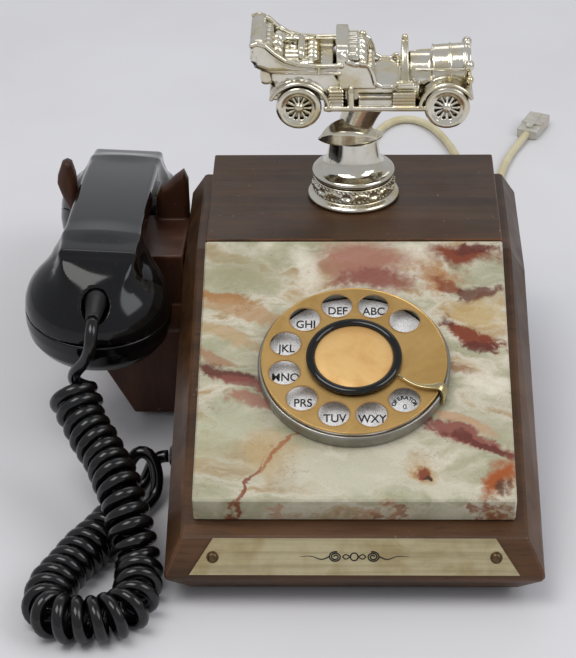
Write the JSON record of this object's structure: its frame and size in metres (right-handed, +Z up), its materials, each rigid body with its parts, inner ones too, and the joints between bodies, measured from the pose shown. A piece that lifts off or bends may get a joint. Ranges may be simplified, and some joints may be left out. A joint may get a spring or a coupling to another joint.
{
  "type": "novelty desk telephone",
  "caption": "Rotary-dial desk telephone on a wooden wedge with an onyx slab, a silver veteran car on a riser, and a black handset in a side cradle.",
  "frame": {"origin": "on the table, under the middle of the telephone's bounding box without its cords", "axes": "+X to the user's right, +Y away from the user, +Z up"},
  "size_m": [0.252, 0.4695, 0.1702],
  "materials": {
    "walnut": "dark brown stain under a worn satin lacquer",
    "onyx": "polished, cream and pale green with rust and pink veins",
    "plate_brass": "brushed and a little tarnished",
    "plated_steel": "dull zinc plate",
    "hardboard": "bare hardboard",
    "foot_rubber": "matt",
    "dial_silver": "polished, slightly worn",
    "dial_white": "satin white with dark printed letters",
    "dial_gold": "satin gold plate",
    "gear_brass": "plain",
    "ring_black": "polished",
    "bakelite": "moulded",
    "figure_silver": "cast and plated, warm tarnish in the hollows",
    "handset_black": "polished, moulded",
    "cord_black": "soft shiny sleeve",
    "cord_cream": "yellowed sleeve",
    "plug_clear": "clear, slightly yellowed"
  },
  "bodies": {
    "base": {"wood_base": "walnut", "deck_block": "walnut", "onyx_slab": "onyx", "name_plate": "plate_brass", "plate_pin_left": "plated_steel", "plate_pin_right": "plated_steel", "bottom_plate": "hardboard", "foot_front_left": "foot_rubber", "foot_front_right": "foot_rubber", "foot_back_left": "foot_rubber", "foot_back_right": "foot_rubber", "dial_cup": "dial_silver", "number_plate": "dial_white", "mechanism_plate": "plated_steel", "dust_cover": "plated_steel", "spring_drum": "gear_brass", "pulse_contacts": "bakelite", "finger_stop": "dial_gold", "riser_band": "figure_silver", "riser_bell": "figure_silver", "leaf_collar": "figure_silver", "figure_rod": "plated_steel", "rod_washer": "plated_steel", "rod_nut": "plated_steel", "car_figure": "figure_silver", "ringer_frame": "plated_steel", "gong_left": "gear_brass", "gong_right": "gear_brass", "ringer_coil_left": "bakelite", "ringer_coil_right": "bakelite", "network_board": "bakelite", "cradle_block": "walnut", "cradle_screw_1": "plated_steel", "cradle_screw_2": "plated_steel", "hook_switch": "bakelite", "handset_cord_bush": "cord_black", "handset_cord_lying": "cord_black", "handset_cord_base_tail": "cord_black", "line_cord_bush": "cord_cream", "line_cord_run": "cord_cream", "line_cord_coil": "cord_cream", "line_cord_end": "cord_cream", "cord_tie": "cord_black", "line_plug": "plug_clear"},
    "dial_wheel": {"finger_wheel": "dial_gold", "wheel_ring": "ring_black", "centre_card": "dial_gold", "dial_shaft": "plated_steel", "main_gear": "gear_brass"},
    "pinion": {"pulse_pinion": "gear_brass"},
    "handset": {"handset_shell": "handset_black", "transmitter_cap": "handset_black", "receiver_cap": "handset_black", "transmitter_capsule": "plated_steel", "receiver_capsule": "plated_steel", "handset_cord_boot": "cord_black", "handset_cord_tail": "cord_black", "handset_cord_hanging": "cord_black"},
    "plunger": {"hook_plunger": "plated_steel"},
    "clapper": {"clapper": "plated_steel"}
  },
  "joints": [
    {"name": "dial_spin", "type": "hinge", "parent": "base", "child": "dial_wheel", "pos_m": [0.03372, -0.07862, 0.0732], "axis": [0, 0.3305, -0.9438], "range_deg": [0, 325], "stiffness_Nm_per_rad": 0.004, "springref_deg": -68.75},
    {"name": "pinion_spin", "type": "hinge", "parent": "base", "child": "pinion", "pos_m": [0.05772, -0.07367, 0.05904], "axis": [0, 0.3305, -0.9438], "range_deg": [-980, 5]},
    {"name": "handset_lift", "type": "slide", "parent": "base", "child": "handset", "axis": [0, 0, 1], "range_m": [0, 0.08]},
    {"name": "plunger_rise", "type": "slide", "parent": "base", "child": "plunger", "axis": [0, 0, 1], "range_m": [0, 0.004]},
    {"name": "clapper_swing", "type": "hinge", "parent": "base", "child": "clapper", "pos_m": [0.03372, 0.00898, 0.0325], "axis": [0, 0, 1], "range_deg": [-3, 3]}
  ],
  "couplings": [
    {"joint": "pinion_spin", "follows": "dial_spin", "ratio": -3},
    {"joint": "plunger_rise", "follows": "handset_lift", "ratio": 0.05}
  ]
}
